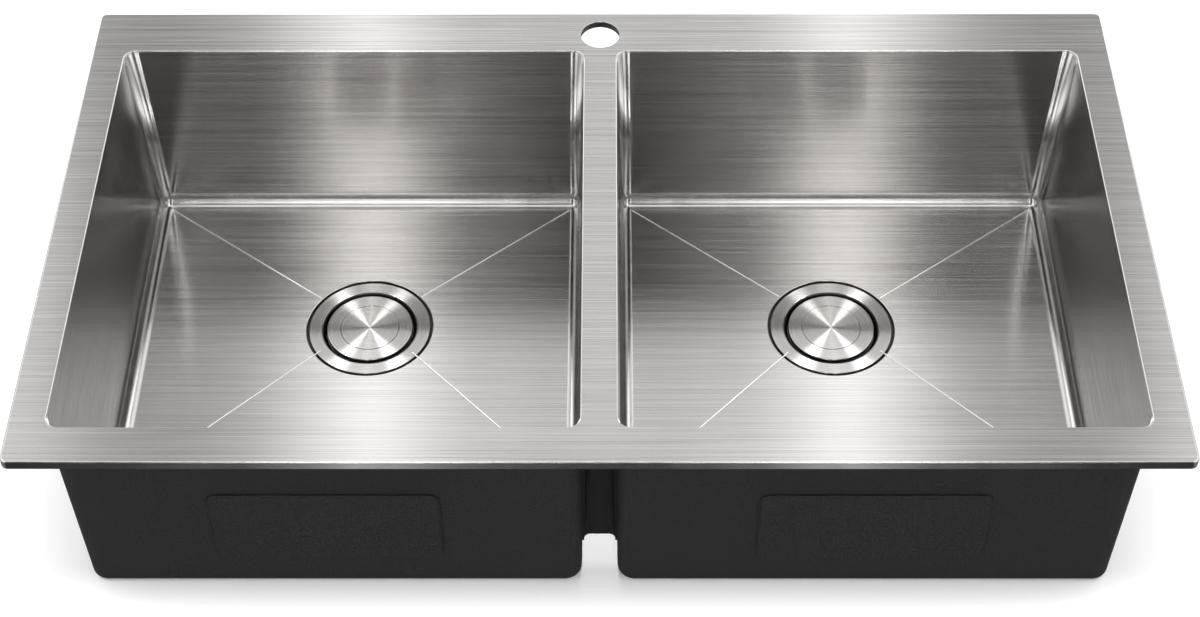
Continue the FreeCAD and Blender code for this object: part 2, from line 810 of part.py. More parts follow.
def make_strainer_body(label):
    """The pressed cup with its flange and its conical floor, on which the stopper seats."""
    top = S.flange_top
    sheet_low = S.seal_thickness
    hole = S.outlet_radius - S.outlet_wall
    body = turned_piece(
        label,
        [
            (S.cup_outer_radius, sheet_low),
            (S.flange_diameter / 2, sheet_low),
            (S.flange_diameter / 2, top),
            (S.cup_radius, top),
            (S.cup_radius, -S.cup_straight),
            (S.outlet_seat_radius, -S.cup_depth),
            (hole, -S.cup_depth),
            (hole, S.outlet_top),
            (S.outlet_seat_radius, S.outlet_top),
            (S.cup_outer_radius, -S.cup_straight - S.flange_sheet),
        ],
    )
    chamfer(body, is_ring(top, S.cup_radius), S.flange_chamfer, "mouth")
    under_bend = is_ring(sheet_low, S.cup_outer_radius)
    chamfer(body, under_bend, S.flange_chamfer - S.flange_sheet / 2, "under_mouth")
    chamfer(body, is_ring(top, S.flange_diameter / 2), S.flange_sheet / 2, "rim")
    return body


def make_locknut(label, top):
    """The big plastic ring nut under the bowl, with lugs for a spanner."""
    body = new_body(label)
    inner = S.cup_outer_radius + S.thread_clearance
    outer = inner + S.nut_wall
    section = new_sketch(body, "section", height=top - S.nut_height)
    draw_circle(section, outer)
    draw_circle(section, inner)
    pad(body, section, S.nut_height)
    lug = new_sketch(body, "lug", height=top - S.nut_height)
    half = S.nut_lug_width / 2
    half_tip = S.nut_lug_tip_width / 2
    base = inner + S.nut_wall / 2
    tip = outer + S.nut_lug_depth
    draw_polygon(lug, [(base, -half), (tip, -half_tip), (tip, half_tip), (base, half)])
    first = pad(body, lug, S.nut_height)
    repeat_round(body, first, lug, S.nut_lugs)
    return body


def make_basket(label):
    """The lift-out cup: a tapered wall with upright slots, a lip, and a holed floor."""
    sheet_width = S.basket_sheet
    top = S.basket_top
    floor = S.basket_bottom + sheet_width
    bore = S.bush_neck_radius
    body = turned_piece(
        label,
        [
            (bore, S.basket_bottom),
            (S.basket_foot_radius, S.basket_bottom),
            (S.basket_radius, top - sheet_width),
            (S.basket_radius + S.basket_lip, top - sheet_width),
            (S.basket_radius + S.basket_lip, top),
            (S.basket_radius - sheet_width, top),
            (S.basket_foot_radius - sheet_width, floor),
            (bore, floor),
        ],
    )
    slot_low = floor + S.basket_slot_rise
    slot = new_sketch(body, "slot", plane="YZ_Plane", height=S.basket_foot_radius / 2)
    half = S.basket_slot_width / 2
    slot_high = slot_low + S.basket_slot_height
    draw_rounded_rectangle(slot, -half, half, slot_low, slot_high, S.basket_slot_radius)
    cut = pocket(body, slot, forwards=True)
    upright = new_sketch(body, "upright")
    repeat_round(body, cut, upright, S.basket_slots)
    hole = new_sketch(body, "floor_hole", height=floor)
    draw_circle(hole, S.basket_hole_diameter / 2, S.basket_hole_circle)
    drilled = pocket(body, hole)
    repeat_round(body, drilled, hole, S.basket_holes)
    return body


def make_stem_bush(label):
    """The collared bush in the basket floor that guides the stem and grips it by friction."""
    bore = S.stem_bore_radius
    neck = S.bush_neck_radius
    collar = neck + S.bush_collar
    low = S.basket_bottom
    floor = low + S.basket_sheet
    return turned_piece(
        label,
        [
            (bore, low),
            (neck, low),
            (neck, floor),
            (collar, floor),
            (collar, floor + S.bush_collar),
            (neck - S.bush_taper, floor + S.bush_height),
            (bore, floor + S.bush_height),
        ],
    )


def make_stem(label):
    """The rod that joins the cap to the stopper, its top end in the cap's socket."""
    top = S.flange_top - S.cap_sheet - S.cap_boss_height + S.cap_socket_depth
    body = new_body(label)
    section = new_sketch(body, "section", height=S.stopper_bottom + S.stopper_thickness)
    draw_circle(section, S.stem_radius)
    pad(body, section, top - S.stopper_bottom - S.stopper_thickness)
    return body


def make_stopper(label):
    """The rubber disc that closes the outlet, with a thinner rim that bends onto the seat."""
    low = S.stopper_bottom
    body = turned_piece(
        label,
        [
            (ZERO, low),
            (S.stopper_radius - S.stopper_lip, low),
            (S.stopper_radius, low + S.stopper_lip / 2),
            (S.stopper_radius, low + S.stopper_lip),
            (S.stopper_crown_radius, low + S.stopper_thickness),
            (ZERO, low + S.stopper_thickness),
        ],
    )
    return body


def make_cap(label):
    """The wide cap: flat top with one turned line, a short skirt, and a boss for the stem."""
    top = S.flange_top
    under = top - S.cap_sheet
    boss_low = under - S.cap_boss_height
    stem_top = boss_low + S.cap_socket_depth
    skirt_inner = S.cap_radius - S.cap_sheet
    line_in = S.cap_line_radius - S.cap_line_width / 2
    line_out = S.cap_line_radius + S.cap_line_width / 2
    body = turned_piece(
        label,
        [
            (ZERO, top),
            (line_in, top),
            (S.cap_line_radius, top - S.cap_line_depth),
            (line_out, top),
            (S.cap_radius, top),
            (S.cap_radius, top - S.cap_skirt),
            (skirt_inner, top - S.cap_skirt),
            (skirt_inner, under),
            (S.cap_boss_radius, under),
            (S.cap_boss_radius, boss_low),
            (S.stem_radius, boss_low),
            (S.stem_radius, stem_top),
            (ZERO, stem_top),
        ],
    )
    chamfer(body, is_ring(top, S.cap_radius), S.cap_edge_chamfer, "edge")
    return body


def make_strainer(name, side):
    """All the pieces of one strainer, placed on their drain."""
    under_sheet = -S.bowl_sheet
    clear = S.cup_outer_radius + S.thread_clearance
    washer_top = under_sheet - S.gasket_thickness
    nut_top = washer_top - S.washer_thickness
    pieces = [
        make_ring(
            f"{name}_flange_seal",
            S.drain_hole_radius,
            S.flange_diameter / 2 - S.flange_chamfer,
            S.seal_thickness,
            S.seal_thickness,
        ),
        make_strainer_body(f"{name}_strainer_body"),
        make_ring(
            f"{name}_outlet_tail",
            S.outlet_radius - S.outlet_wall,
            S.outlet_radius,
            S.outlet_top,
            S.outlet_length,
        ),
        make_ring(
            f"{name}_gasket", clear, clear + S.gasket_width, under_sheet, S.gasket_thickness
        ),
        make_ring(
            f"{name}_slip_washer", clear, clear + S.gasket_width, washer_top, S.washer_thickness
        ),
        make_locknut(f"{name}_locknut", nut_top),
        make_basket(f"{name}_basket"),
        make_stem_bush(f"{name}_stem_bush"),
        make_stem(f"{name}_stem"),
        make_stopper(f"{name}_stopper"),
        make_cap(f"{name}_cap"),
    ]
    for piece in pieces:
        place(piece, S.drain_x * side, S.drain_y, S.seat_top)
    return pieces


# ---------------------------------------------------------------- the whole sink


def make_all():
    nodes = [make_rim_deck(), make_tap_hole_ring()] + make_rails()
    web_y = S.front_y - S.bowl_sheet - S.coat + S.web_setback
    nodes.append(make_web("front_web", web_y, turned=False))
    rear_y = S.back_y + S.bowl_sheet + S.coat - S.web_setback
    nodes.append(make_web("rear_web", rear_y, turned=True))
    for name, side in SIDES.items():
        nodes.append(make_bowl(name, side))
        wall_pads = make_wall_pads(name, side)
        bottom_pad = make_bottom_pad(name, side)
        doc.recompute()
        nodes += wall_pads + [bottom_pad]
        nodes.append(make_undercoat(name, side, wall_pads, bottom_pad))
        nodes += make_strainer(name, side)
    doc.recompute()
    return nodes


def check(nodes):
    """Stops before anything is written if a feature failed or a piece isn't sound."""
    for item in doc.Objects:
        if {"Invalid", "Error"} & set(item.State):
            raise RuntimeError(f"{item.Name} failed: {item.State}")
    for node in nodes:
        if node.Shape.isNull() or not node.Shape.isValid() or not node.Shape.Solids:
            raise RuntimeError(f"{node.Label} has no sound solid")


def write(nodes):
    os.makedirs("parts", exist_ok=True)
    for node in nodes:
        node.Shape.exportStep(f"parts/{node.Label}.step")
        box = node.Shape.BoundBox
        print(
            f"{node.Label:22s} {len(node.Shape.Solids)} solid  {node.Shape.Volume / 1000:9.2f} cm3  "
            f"x {box.XMin:8.2f} {box.XMax:8.2f}  y {box.YMin:8.2f} {box.YMax:8.2f}  "
            f"z {box.ZMin:8.2f} {box.ZMax:8.2f}"
        )


sink = make_all()
check(sink)
write(sink)
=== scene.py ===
# %% [markdown]
# # A double bowl kitchen sink
#
# The object is a drop-in sink in brushed steel: a flat deck with a folded rim, two deep bowls
# with tight polished bends, a strainer in each drain and a black coat sprayed on the outside.
# The construction model already gives every piece its place and size. It comes in as a fixed
# frame, in metres, with the origin in the middle of the rim at the level of the worktop. This
# lesson dresses that frame: it swaps the pieces that mirror their surroundings for finer
# surfaces, and gives every other piece a finish of its own.

import math

import bmesh
import bpy
from mathutils import Matrix, Vector
from mathutils.geometry import delaunay_2d_cdt


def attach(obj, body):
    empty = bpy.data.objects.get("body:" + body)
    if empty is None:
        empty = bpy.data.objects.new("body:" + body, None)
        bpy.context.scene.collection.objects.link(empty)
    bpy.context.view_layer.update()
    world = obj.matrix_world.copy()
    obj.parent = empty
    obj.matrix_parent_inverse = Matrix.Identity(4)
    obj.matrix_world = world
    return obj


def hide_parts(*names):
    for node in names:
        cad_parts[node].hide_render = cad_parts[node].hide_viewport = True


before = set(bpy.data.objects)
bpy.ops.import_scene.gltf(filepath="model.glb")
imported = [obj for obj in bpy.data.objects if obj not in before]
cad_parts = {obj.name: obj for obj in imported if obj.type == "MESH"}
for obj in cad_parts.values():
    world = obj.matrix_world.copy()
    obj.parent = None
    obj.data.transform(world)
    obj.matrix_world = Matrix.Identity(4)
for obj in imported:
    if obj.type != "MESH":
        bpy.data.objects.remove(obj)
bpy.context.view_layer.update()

# %% [markdown]
# ## Sizes
#
# The new surfaces have to lie exactly where the frame's solids are. The sheet sizes are written
# here once, in metres, and each piece below is worked out from them.

# %% Sizes of the sheet work
MM = 0.001
RIM_HALF_X, RIM_HALF_Y, RIM_TOP = 457.2 * MM, 260.8 * MM, 8.0 * MM
RIM_CORNER = 6.0 * MM
DECK_UNDER = 6.5 * MM
MOUTH_NEAR, MOUTH_FAR = 14.8 * MM, 428.0 * MM
MOUTH_FRONT, MOUTH_BACK = -226.0 * MM, 209.2 * MM
MOUTH_RADIUS = 10.0 * MM
FLOOR, BOWL_SHEET = -184.0 * MM, 1.2 * MM
BEND = 11.5 * MM
LEAN_FAR, LEAN_NEAR = 6.0 * MM, 3.0 * MM
LEAN_HEIGHT = 191.7 * MM
DRAIN_X, DRAIN_Y = 211.1 * MM, 47.0 * MM
SEAT_RADIUS, SEAT_DEPTH = 57.7 * MM, 3.2 * MM
DRAIN_RADIUS = 45.0 * MM
TAP_Y, TAP_RADIUS = 231.6 * MM, 17.5 * MM
SIDES = {"left": -1, "right": 1}
X, Y, Z = Vector((1, 0, 0)), Vector((0, 1, 0)), Vector((0, 0, 1))
print("one bowl is", round((MOUTH_FAR - MOUTH_NEAR) / MM, 1), "mm wide at its mouth")

# %% [markdown]
# ## Surfaces that mirror
#
# Brushed steel shows every kink in a surface, so the sheet pieces are built from rings: the same
# rounded rectangle again and again, each one a little lower or further in, joined by strips of
# faces. The bends come out as smooth fans of narrow strips, and the flats stay flat right up to
# them.
#
# The brushing has a direction. It is stored in a UV map named "brush": its U axis runs along
# the scratches of each face. The steel reads it to stretch its highlights across them.

# %% A ring of points round a rounded rectangle
def rounded_ring(west, east, south, north, radius, z, steps):
    """Four corners of steps + 1 points each; the first one lies south-east."""
    points = []
    corners = ((east, south, -1), (east, north, 0), (west, north, 1), (west, south, 2))
    for x, y, turn in corners:
        cx = x - math.copysign(radius, x - (west + east) / 2)
        cy = y - math.copysign(radius, y - (south + north) / 2)
        for step in range(steps + 1):
            angle = math.pi / 2 * (turn + step / steps)
            point = (cx + radius * math.cos(angle), cy + radius * math.sin(angle), z)
            points.append(Vector(point))
    return points


# %% A mesh that grows strip by strip
SAME_POINT, WELD_REACH = 1e-7, 1e-6
FLAT_ENOUGH = 0.99999


class Skin:
    """Collects faces, and for each face its finish and the direction it was brushed in."""

    def __init__(self):
        self.mesh = bmesh.new()
        self.brush = self.mesh.loops.layers.uv.new("brush")

    def face(self, points, finish, along):
        made = self.mesh.faces.new([self.mesh.verts.new(point) for point in points])
        made.material_index = finish
        made.normal_update()
        across = made.normal.cross(along)
        for loop in made.loops:
            loop[self.brush].uv = (loop.vert.co.dot(along), loop.vert.co.dot(across))

    def strip(self, ring, next_ring, choose):
        """Joins two rings; choose gives the finish and the brushing for each step round them."""
        count = len(ring)
        for index in range(count):
            following = (index + 1) % count
            corners = [ring[index], next_ring[index], next_ring[following], ring[following]]
            different = [
                p for n, p in enumerate(corners) if (p - corners[n - 1]).length > SAME_POINT
            ]
            if len(different) > 2:
                self.face(different, *choose(index))

    def strips(self, rings, choose, hollow=False):
        """Joins many rings one after the other; a hollow shape is seen from its inside."""
        for ring, next_ring in zip(rings, rings[1:]):
            pair = (next_ring, ring) if hollow else (ring, next_ring)
            self.strip(*pair, choose)

    def corner_normals(self, sharp_from):
        """For each corner, the mean of the faces that meet there smoothly, large faces first."""
        limit = math.cos(math.radians(sharp_from))
        normals = []
        for face in self.mesh.faces:
            bent = False
            for vertex in face.verts:
                near = [f for f in vertex.link_faces if f.normal.dot(face.normal) > limit]
                normal = sum((f.normal * f.calc_area() for f in near), Vector()).normalized()
                bent = bent or normal.dot(face.normal) < FLAT_ENOUGH
                normals.append(normal)
            face.smooth = bent
        return normals

    def piece(self, name, finishes, sharp_from):
        """Joins the faces into one object whose flats shade flat right up to the bends."""
        bmesh.ops.remove_doubles(self.mesh, verts=self.mesh.verts, dist=WELD_REACH)
        bmesh.ops.dissolve_degenerate(self.mesh, edges=self.mesh.edges, dist=SAME_POINT)
        self.mesh.normal_update()
        normals = self.corner_normals(sharp_from)
        data = bpy.data.meshes.new(name)
        self.mesh.to_mesh(data)
        self.mesh.free()
        data.normals_split_custom_set(normals)
        for finish in finishes:
            data.materials.append(finish)
        made = bpy.data.objects.new(name, data)
        bpy.context.collection.objects.link(made)
        print(name, "has", len(data.polygons), "faces")
        return made


# %% [markdown]
# ## Building blocks for the finishes
#
# Every finish here is worked out from noise, with no pictures. The helpers below make a new
# material, a noise that can be stretched along one axis, and the three things that the noise
# drives in each finish: its colour, its roughness and a slight relief.

# %% Noise, colour, roughness and relief
NOISE_ROUGHNESS = 0.6
NOISE_SPAN = (0.3, 0.7)


def new_material(name):
    material = bpy.data.materials.new(name)
    material.use_nodes = True
    shader = material.node_tree.nodes["Principled BSDF"]
    return material, material.node_tree, shader


def stretched_noise(tree, scales, detail):
    """Noise in object space, scaled differently along X, Y and Z (turns per metre)."""
    where = tree.nodes.new("ShaderNodeTexCoord")
    mapping = tree.nodes.new("ShaderNodeMapping")
    mapping.inputs["Scale"].default_value = scales
    noise = tree.nodes.new("ShaderNodeTexNoise")
    noise.inputs["Scale"].default_value = 1.0
    noise.inputs["Detail"].default_value = detail
    noise.inputs["Roughness"].default_value = NOISE_ROUGHNESS
    tree.links.new(where.outputs["Object"], mapping.inputs["Vector"])
    tree.links.new(mapping.outputs["Vector"], noise.inputs["Vector"])
    return noise.outputs["Fac"]


def remap(tree, value, low, high, span=NOISE_SPAN):
    node = tree.nodes.new("ShaderNodeMapRange")
    node.inputs["From Min"].default_value, node.inputs["From Max"].default_value = span
    node.inputs["To Min"].default_value = low
    node.inputs["To Max"].default_value = high
    tree.links.new(value, node.inputs["Value"])
    return node.outputs["Result"]


def tint(tree, value, dark, light):
    ramp = tree.nodes.new("ShaderNodeValToRGB")
    for mark, place, colour in zip(ramp.color_ramp.elements, NOISE_SPAN, (dark, light)):
        mark.position = place
        mark.color = (*colour, 1)
    tree.links.new(value, ramp.inputs["Fac"])
    return ramp.outputs["Color"]


def emboss(tree, value, shader, depth, strength):
    bump = tree.nodes.new("ShaderNodeBump")
    bump.inputs["Distance"].default_value = depth
    bump.inputs["Strength"].default_value = strength
    tree.links.new(value, bump.inputs["Height"])
    tree.links.new(bump.outputs["Normal"], shader.inputs["Normal"])


# %% [markdown]
# ## Brushed steel
#
# Sheet steel for sinks is brushed with a belt: thousands of fine parallel scratches. Two things
# follow. The scratches themselves show as faint streaks, made here with a noise that is
# stretched far along the brushing. And a highlight smears out across the scratches, which the
# shader's anisotropic value does, turned a quarter so that it works across the stored
# direction.
#
# The walls of the bowls are painted darker than the deck, as painted shade. The bends are polished
# and painted lighter, the creases painted almost white, as painted highlights, and the seats of
# the drains are rough and painted nearly black, as painted shade in their recess.

# %% The steel finish
QUARTER_TURN = 0.25
SCRATCH_DEPTH, SCRATCH_STRENGTH = 0.000001, 0.4
SCRATCH_DETAIL = 2.0


def set_metal(tree, shader, stretch, direction):
    """Bare metal whose highlights are stretched across a tangent direction."""
    shader.inputs["Metallic"].default_value = 1.0
    shader.inputs["Anisotropic"].default_value = stretch
    shader.inputs["Anisotropic Rotation"].default_value = QUARTER_TURN
    tree.links.new(direction.outputs["Tangent"], shader.inputs["Tangent"])


def steel(name, scratches, rough, stretch, dark, light):
    """Brushed steel: scratches are the noise scales, finest across the brushing."""
    material, tree, shader = new_material(name)
    streaks = stretched_noise(tree, scratches, SCRATCH_DETAIL)
    tree.links.new(tint(tree, streaks, dark, light), shader.inputs["Base Color"])
    tree.links.new(remap(tree, streaks, *rough), shader.inputs["Roughness"])
    brushing = tree.nodes.new("ShaderNodeTangent")
    brushing.direction_type = "UV_MAP"
    brushing.uv_map = "brush"
    set_metal(tree, shader, stretch, brushing)
    emboss(tree, streaks, shader, SCRATCH_DEPTH, SCRATCH_STRENGTH)
    return material


# %% Steel for each face of the sheet work
along_deck, along_side, along_wall = (6, 1300, 1300), (1100, 6, 1100), (6, 1150, 1150)
polished, pressed = (40, 40, 40), (300, 300, 300)
steel_grey, steel_light = (0.5, 0.49, 0.48), (0.72, 0.71, 0.7)
# Walls and side walls: a darker steel colour than the deck, painted shade.
wall_shade_grey, wall_shade_pale = (0.31, 0.305, 0.3), (0.47, 0.46, 0.45)
side_shade_grey, side_shade_pale = (0.38, 0.37, 0.36), (0.62, 0.61, 0.6)
# Seats: steel painted nearly black, painted shade in the recess round the strainer.
seat_shade_grey, seat_shade_pale = (0.07, 0.07, 0.07), (0.1, 0.1, 0.1)
# Bends, creases and edges: a lighter steel colour than the deck, painted highlight.
bend_highlight_grey = (0.64, 0.63, 0.62)
crease_highlight_grey, crease_highlight_pale = (0.93, 0.93, 0.92), (0.97, 0.97, 0.96)
edge_highlight_grey, edge_highlight_pale = (0.75, 0.75, 0.74), (0.8, 0.8, 0.79)

deck_steel = steel("deck_brushed", along_deck, (0.17, 0.21), 1.0, steel_grey, steel_light)
wall_steel = steel("walls_brushed_across_painted_shade", along_wall, (0.18, 0.22), 1.0, wall_shade_grey, wall_shade_pale)
side_steel = steel("side_walls_brushed_painted_shade", along_side, (0.15, 0.19), 1.0, side_shade_grey, side_shade_pale)
floor_steel = steel("floors_brushed", along_wall, (0.16, 0.2), 1.0, steel_grey, steel_light)
seat_steel = steel("seats_rough_painted_shade", pressed, (0.4, 0.5), 0.2, seat_shade_grey, seat_shade_pale)
bend_steel = steel("bends_polished_painted_highlight", polished, (0.17, 0.22), 0.3, bend_highlight_grey, steel_light)
crease_steel = steel("creases_painted_highlight", polished, (0.25, 0.35), 0.2, crease_highlight_grey, crease_highlight_pale)
edge_steel = steel("edges_polished_painted_highlight", polished, (0.14, 0.18), 0.0, edge_highlight_grey, edge_highlight_pale)
print("steel on the deck:", deck_steel.name, "and", edge_steel.name)

# %% [markdown]
# ## The deck
#
# The deck is one sheet with two square mouths and a round tap hole. Its edge is folded down
# all round and stands on the worktop. One face can't have holes in it, so the flat top is filled
# with triangles between its outlines. Every outline then gets its own rounding: a wide one at
# the outer fold, a tight one at the mouths.

# %% Fill a flat shape between outlines
UP, DOWN = 1, -1


def fill_flat(outlines, z, is_inside):
    """Triangles of a level area between closed outlines; is_inside says which ones to keep."""
    points, edges = [], []
    for outline in outlines:
        first = len(points)
        points += [Vector((p.x, p.y)) for p in outline]
        edges += [(first + n, first + (n + 1) % len(outline)) for n in range(len(outline))]
    flat_points, _, triangles, *_ = delaunay_2d_cdt(points, edges, [], 0, SAME_POINT)
    kept = []
    for triangle in triangles:
        corners = [Vector((*flat_points[n], z)) for n in triangle]
        middle = sum(corners, Vector()) / 3
        if is_inside(middle):
            kept.append(corners)
    return kept


def looking(corners, way):
    """The same corners, in the order that makes their face look up or down."""
    turn = (corners[1] - corners[0]).cross(corners[2] - corners[0]).z
    return corners[::-1] if turn * way < 0 else corners


# %% Rings of the deck
DECK_STEPS = 10
ROUND_STEPS = 96


def circle_ring(x, y, radius, z, steps=ROUND_STEPS):
    turn = 2 * math.pi / steps
    return [
        Vector((x + radius * math.cos(turn * n), y + radius * math.sin(turn * n), z))
        for n in range(steps)
    ]


def tap_ring(grow, z):
    return circle_ring(0, TAP_Y, TAP_RADIUS + grow, z)


def mouth_ring(side, grow, z):
    west, east = sorted((MOUTH_NEAR * side, MOUTH_FAR * side))
    south, north = MOUTH_FRONT - grow, MOUTH_BACK + grow
    return rounded_ring(
        west - grow, east + grow, south, north, MOUTH_RADIUS + grow, z, DECK_STEPS
    )


def rim_ring(inset, z):
    half_x, half_y = RIM_HALF_X - inset, RIM_HALF_Y - inset
    return rounded_ring(-half_x, half_x, -half_y, half_y, RIM_CORNER - inset, z, DECK_STEPS)


def quarter(radius, steps):
    """How far in and how far down a rounded edge has come, from the flat to the upright side."""
    turns = [math.pi / 2 * n / steps for n in range(steps + 1)]
    return [(radius * (1 - math.sin(t)), radius * (1 - math.cos(t))) for t in turns]


# %% Which faces are deck, and how its edges are polished and painted lighter as a highlight
FOLD, MOUTH_EDGE, HOLE_EDGE = 1.5 * MM, 1.0 * MM, 0.4 * MM
FLAT, EDGE = 0, 1


def in_mouth_corner(p):
    x = min(abs(p.x) - MOUTH_NEAR, MOUTH_FAR - abs(p.x))
    y = min(p.y - MOUTH_FRONT, MOUTH_BACK - p.y)
    if max(x, y) > MOUTH_RADIUS:
        return False
    return math.hypot(MOUTH_RADIUS - x, MOUTH_RADIUS - y) > MOUTH_RADIUS + MOUTH_EDGE


def on_deck(p):
    if math.hypot(p.x, p.y - TAP_Y) < TAP_RADIUS + HOLE_EDGE:
        return False
    over_mouth = MOUTH_NEAR < abs(p.x) < MOUTH_FAR and MOUTH_FRONT < p.y < MOUTH_BACK
    return not over_mouth or in_mouth_corner(p)


def edge_finish(index):
    """Polished along the edge, and painted lighter as a highlight: the points of a corner, then one
    long run, the first facing east.
    """
    corner, step = divmod(index, DECK_STEPS + 1)
    if step < DECK_STEPS:
        return EDGE, Z
    return (EDGE, Y) if corner in (0, 2) else (EDGE, X)


# %% Build the deck
def level_faces(skin, outlines, z, way):
    for corners in fill_flat(outlines, z, on_deck):
        skin.face(looking(corners, way), FLAT, X)


def make_deck():
    skin = Skin()
    sheet = RIM_TOP - DECK_UNDER
    top = [rim_ring(FOLD, RIM_TOP), tap_ring(HOLE_EDGE, RIM_TOP)]
    top += [mouth_ring(side, MOUTH_EDGE, RIM_TOP) for side in SIDES.values()]
    level_faces(skin, top, RIM_TOP, UP)

    outer = [rim_ring(inset, RIM_TOP - down) for inset, down in quarter(FOLD, 8)]
    outer += [rim_ring(0, 0), rim_ring(sheet, 0), rim_ring(sheet, DECK_UNDER)]
    skin.strips(outer, edge_finish)
    for side in SIDES.values():
        mouth = [
            mouth_ring(side, grow, RIM_TOP - down) for grow, down in quarter(MOUTH_EDGE, 6)
        ]
        mouth.append(mouth_ring(side, 0, DECK_UNDER))
        skin.strips(mouth, edge_finish, hollow=True)
    hole = [tap_ring(grow, RIM_TOP - down) for grow, down in quarter(HOLE_EDGE, 4)]
    hole.append(tap_ring(0, DECK_UNDER))
    skin.strips(hole, lambda index: (EDGE, X), hollow=True)

    under = [rim_ring(sheet, DECK_UNDER), tap_ring(0, DECK_UNDER)]
    under += [mouth_ring(side, 0, DECK_UNDER) for side in SIDES.values()]
    level_faces(skin, under, DECK_UNDER, DOWN)
    return skin.piece("deck_skin", [deck_steel, edge_steel], sharp_from=50)


deck = make_deck()
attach(deck, "sink")
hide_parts("rim_deck")

# %% [markdown]
# ## The bowls
#
# Each bowl is folded from one sheet and welded at its corners. The walls to the left and right
# lean out a little, and every bend has the same tight radius, so three bends meet in a piece of
# a ball. The rings follow the wall down, then turn inwards through the bend until they close on
# the level floor.

# %% Rings of a bowl's inside
BEND_STEPS = 12
WALL, SIDE_WALL, BEND_STRIP, CREASE, LEVEL, SEAT = range(6)
bowl_finishes = [wall_steel, side_steel, bend_steel, crease_steel, floor_steel, seat_steel]


def bowl_ring(side, inset, z, radius):
    lean = (DECK_UNDER - z) / LEAN_HEIGHT
    near = MOUTH_NEAR + LEAN_NEAR * lean + inset
    far = MOUTH_FAR - LEAN_FAR * lean - inset
    west, east = sorted((near * side, far * side))
    south, north = MOUTH_FRONT + inset, MOUTH_BACK - inset
    return rounded_ring(west, east, south, north, radius, z, BEND_STEPS)


def bowl_finish(on_wall):
    """Which way each strip is brushed: the points of a corner, then one long flat."""

    def choose(index):
        corner, step = divmod(index, BEND_STEPS + 1)
        if step < BEND_STEPS:
            return (BEND_STRIP, Z) if on_wall else (BEND_STRIP, X)
        if corner in (0, 2):
            return (SIDE_WALL, Y) if on_wall else (BEND_STRIP, Y)
        return (WALL, X) if on_wall else (BEND_STRIP, X)

    return choose


def bowl_walls(skin, side):
    """The upright walls and the bend under them; returns the outline of the level floor."""
    wall = [bowl_ring(side, 0, z, BEND) for z in (DECK_UNDER, FLOOR + BEND)]
    skin.strips(wall, bowl_finish(True), hollow=True)
    bend = []
    for step in range(BEND_STEPS + 1):
        turn = math.pi / 2 * step / BEND_STEPS
        inset = BEND * (1 - math.cos(turn))
        height = FLOOR + BEND * (1 - math.sin(turn))
        bend.append(bowl_ring(side, inset, height, BEND - inset))
    skin.strips(bend, bowl_finish(False), hollow=True)
    return bend[-1]


# %% [markdown]
# ## Creases in the floor
#
# A flat floor would hold puddles, so four shallow creases are pressed into it that lead the
# water to the drain. Two come from the back corners and two from the side walls. Each is a
# narrow groove with two flanks, cut out of the floor, and its steel is painted almost white,
# a painted highlight along the crease.

# %% Where the creases run
CREASE_HALF, CREASE_DEPTH = 0.65 * MM, 0.25 * MM
CREASE_TO_SEAT, CREASE_TO_BEND = 1.5 * MM, 1.0 * MM
FRONT_CREASE_AIM, FRONT_CREASE_END = 13 * MM, 92 * MM


def crease_grooves(side):
    """For each crease: start and end on the floor, its direction, and half its width."""
    near = (MOUTH_NEAR + LEAN_NEAR + BEND) * side
    far = (MOUTH_FAR - LEAN_FAR - BEND) * side
    to_back = (DRAIN_Y, MOUTH_BACK - BEND)
    to_sides = (DRAIN_Y + FRONT_CREASE_AIM, MOUTH_FRONT + FRONT_CREASE_END)
    grooves = []
    for aim_y, end_y in (to_back, to_sides):
        for foot_x in (near, far):
            middle = Vector((DRAIN_X * side, aim_y, 0))
            foot = Vector((foot_x, end_y, 0))
            start = middle + (foot - middle).normalized() * (SEAT_RADIUS + CREASE_TO_SEAT)
            along = (foot - start).normalized()
            across = along.cross(Z) * CREASE_HALF
            grooves.append((start, foot - along * CREASE_TO_BEND, along, across))
    return grooves


def in_groove(p, groove):
    start, end, along, _ = groove
    flat = Vector((p.x, p.y, 0)) - start
    reach = flat.dot(along)
    return 0 < reach < (end - start).length and (flat - along * reach).length < CREASE_HALF


# %% The floor with its creases and the seat of the drain
SEAT_EDGE = 0.8 * MM


def bowl_floor(skin, side, outline, grooves):
    west, east = min(p.x for p in outline), max(p.x for p in outline)
    south, north = min(p.y for p in outline), max(p.y for p in outline)
    corners = ((west, south), (east, south), (east, north), (west, north))
    box = [Vector((x, y, 0)) for x, y in corners]
    opening = circle_ring(DRAIN_X * side, DRAIN_Y, SEAT_RADIUS + SEAT_EDGE, FLOOR)

    def on_floor(p):
        if math.hypot(p.x - DRAIN_X * side, p.y - DRAIN_Y) < SEAT_RADIUS + SEAT_EDGE:
            return False
        return not any(in_groove(p, groove) for groove in grooves)

    outlines = [box, opening]
    outlines += [[a - w, b - w, b + w, a + w] for a, b, _, w in grooves]
    for triangle in fill_flat(outlines, FLOOR, on_floor):
        skin.face(looking(triangle, UP), LEVEL, X)


def crease_faces(skin, grooves):
    """Two long flanks and two pointed ends for each crease."""
    level, depth = Vector((0, 0, FLOOR)), Vector((0, 0, -CREASE_DEPTH))
    for start, end, along, across in grooves:
        low_start = start + along * CREASE_HALF + depth
        low_end = end - along * CREASE_HALF + depth
        flanks = [
            (start - across, end - across, low_end, low_start),
            (low_start, low_end, end + across, start + across),
            (start + across, start - across, low_start),
            (end - across, end + across, low_end),
        ]
        for flank in flanks:
            skin.face(looking([level + p for p in flank], UP), CREASE, along)


